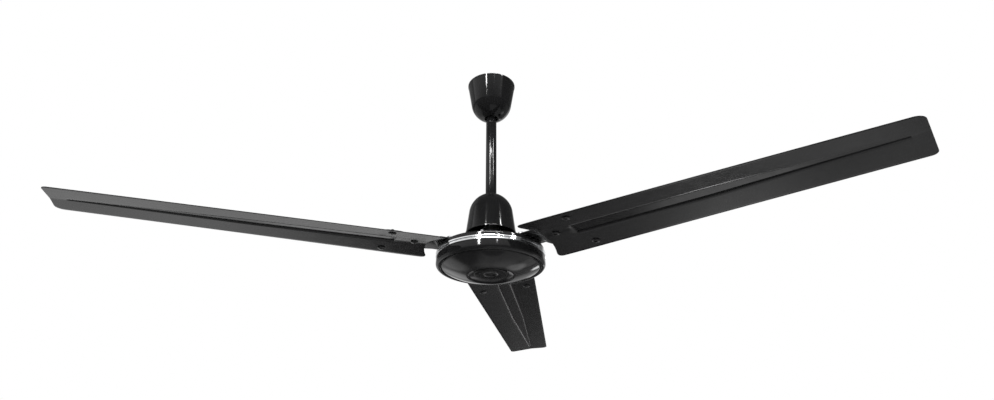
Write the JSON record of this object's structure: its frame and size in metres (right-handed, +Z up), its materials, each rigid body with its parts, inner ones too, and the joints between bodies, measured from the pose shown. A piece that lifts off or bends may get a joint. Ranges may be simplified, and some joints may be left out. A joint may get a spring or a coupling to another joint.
{
  "type": "industrial ceiling fan",
  "caption": "Black industrial ceiling fan hung from a shackle bracket: downrod with two canopies, pancake motor with a bright trim ring, and bent steel blades on brackets.",
  "frame": {"origin": "middle of the ceiling bracket's top face, which lies on the ceiling", "axes": "+Z up along the downrod and the motor's spin axis, +X along the hanger bolt and the line of the bracket's two holes"},
  "size_m": [1.2588, 1.1892, 0.4293],
  "materials": {
    "black_enamel": "gloss",
    "bright_trim": "polished",
    "zinc_steel": "satin",
    "bearing_steel": "polished",
    "roller_rubber": "matt",
    "cast_shell": "gloss",
    "core_steel": "matt",
    "winding_copper": "gloss",
    "end_ring_alloy": "matt",
    "capacitor_case": "matt"
  },
  "bodies": {
    "ceiling_mount": {"ceiling_bracket": "zinc_steel", "rubber_roller": "roller_rubber", "hanger_bolt": "zinc_steel", "hanger_nut": "zinc_steel", "hanger_split_pin": "zinc_steel"},
    "stem": {"shackle": "zinc_steel", "pipe_bolts": "zinc_steel", "pipe_nuts": "zinc_steel", "pipe_split_pins": "zinc_steel", "downrod": "black_enamel", "shaft_coupling": "zinc_steel", "coupling_set_screw": "zinc_steel", "capacitor": "capacitor_case", "capacitor_clip": "zinc_steel", "motor_shaft": "bearing_steel", "shaft_circlip": "bearing_steel", "stator_core": "core_steel", "stator_windings": "winding_copper", "upper_inner_race": "bearing_steel", "lower_inner_race": "bearing_steel"},
    "upper_canopy": {"upper_canopy": "black_enamel", "upper_canopy_screw": "zinc_steel"},
    "lower_canopy": {"lower_canopy": "black_enamel", "lower_canopy_screw": "zinc_steel"},
    "upper_balls": {"upper_ball_set": "bearing_steel"},
    "lower_balls": {"lower_ball_set": "bearing_steel"},
    "rotor": {"upper_outer_race": "bearing_steel", "lower_outer_race": "bearing_steel", "preload_washer": "bearing_steel", "rotor_core": "core_steel", "rotor_end_rings": "end_ring_alloy", "upper_cover": "cast_shell", "lower_cover": "cast_shell", "trim_ring": "bright_trim", "hub_cap": "black_enamel", "cover_screws": "zinc_steel", "blade_screws": "zinc_steel", "bracket_screws": "zinc_steel", "blade_1": "black_enamel", "blade_2": "black_enamel", "blade_3": "black_enamel", "blade_bracket_1": "black_enamel", "blade_bracket_2": "black_enamel", "blade_bracket_3": "black_enamel"}
  },
  "joints": [
    {"name": "hanger_swing", "type": "hinge", "parent": "ceiling_mount", "child": "stem", "pos_m": [0, 0, -0.027], "axis": [1, 0, 0], "range_deg": [-5, 5]},
    {"name": "rotor_spin", "type": "hinge", "parent": "stem", "child": "rotor", "pos_m": [0, 0, -0.39], "axis": [0, 0, 1], "continuous": true},
    {"name": "upper_ball_spin", "type": "hinge", "parent": "stem", "child": "upper_balls", "pos_m": [0, 0, -0.3672], "axis": [0, 0, 1], "continuous": true},
    {"name": "lower_ball_spin", "type": "hinge", "parent": "stem", "child": "lower_balls", "pos_m": [0, 0, -0.4156], "axis": [0, 0, 1], "continuous": true},
    {"name": "upper_canopy_slide", "type": "slide", "parent": "stem", "child": "upper_canopy", "axis": [0, 0, -1], "range_m": [0, 0.06]},
    {"name": "lower_canopy_slide", "type": "slide", "parent": "stem", "child": "lower_canopy", "axis": [0, 0, 1], "range_m": [0, 0.06]}
  ],
  "couplings": [
    {"joint": "upper_ball_spin", "follows": "rotor_spin", "ratio": 0.605},
    {"joint": "lower_ball_spin", "follows": "rotor_spin", "ratio": 0.62}
  ]
}
